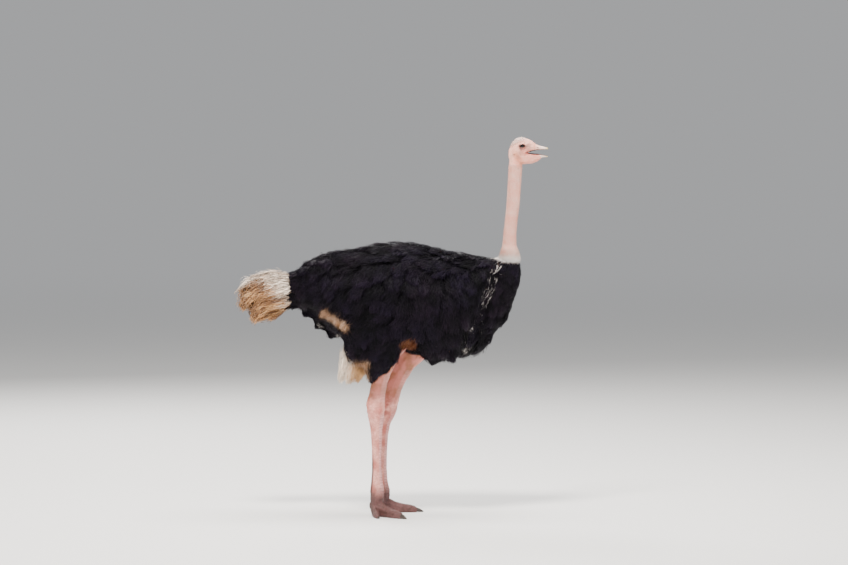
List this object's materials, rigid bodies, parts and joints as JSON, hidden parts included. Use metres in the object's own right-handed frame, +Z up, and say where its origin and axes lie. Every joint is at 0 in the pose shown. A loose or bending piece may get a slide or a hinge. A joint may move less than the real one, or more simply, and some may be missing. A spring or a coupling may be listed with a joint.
{
  "type": "ostrich",
  "caption": "Life-size standing male ostrich, black body plumage, drooping tan tail plumes, long bare neck and legs, bill slightly open; a still model with no moving parts.",
  "frame": {"origin": "on the floor, under the middle of the box that holds the whole bird", "axes": "+X is the way the bird faces, +Y its left side, +Z up"},
  "size_m": [1.9308, 0.5994, 2.3619],
  "materials": {
    "skin": "bare pink skin with pale down on head and neck, matt",
    "black_plumage": "soft loose black feathers with a faint blue and brown sheen",
    "tan_plumage": "soft drooping plumes, white at the root, tan at the tips",
    "bill_horn": "pale horn, satin",
    "claw_horn": "dark horn, satin",
    "eye": "wet dark brown eye, glossy"
  },
  "bodies": {
    "root": {"head": "skin", "neck_upper": "skin", "neck_lower": "skin", "drumstick_right": "skin", "shank_right": "skin", "foot_right": "skin", "toe_main_right": "skin", "toe_outer_right": "skin", "drumstick_left": "skin", "shank_left": "skin", "foot_left": "skin", "toe_main_left": "skin", "toe_outer_left": "skin", "trunk": "black_plumage", "neck_base": "black_plumage", "wing_right": "black_plumage", "flank_right": "black_plumage", "wing_left": "black_plumage", "flank_left": "black_plumage", "tail": "tan_plumage", "wing_plume_right": "tan_plumage", "wing_plume_left": "tan_plumage", "bill_upper": "bill_horn", "bill_lower": "bill_horn", "claw_main_right": "claw_horn", "claw_outer_right": "claw_horn", "claw_main_left": "claw_horn", "claw_outer_left": "claw_horn", "eye_right": "eye", "eye_left": "eye"}
  },
  "joints": []
}
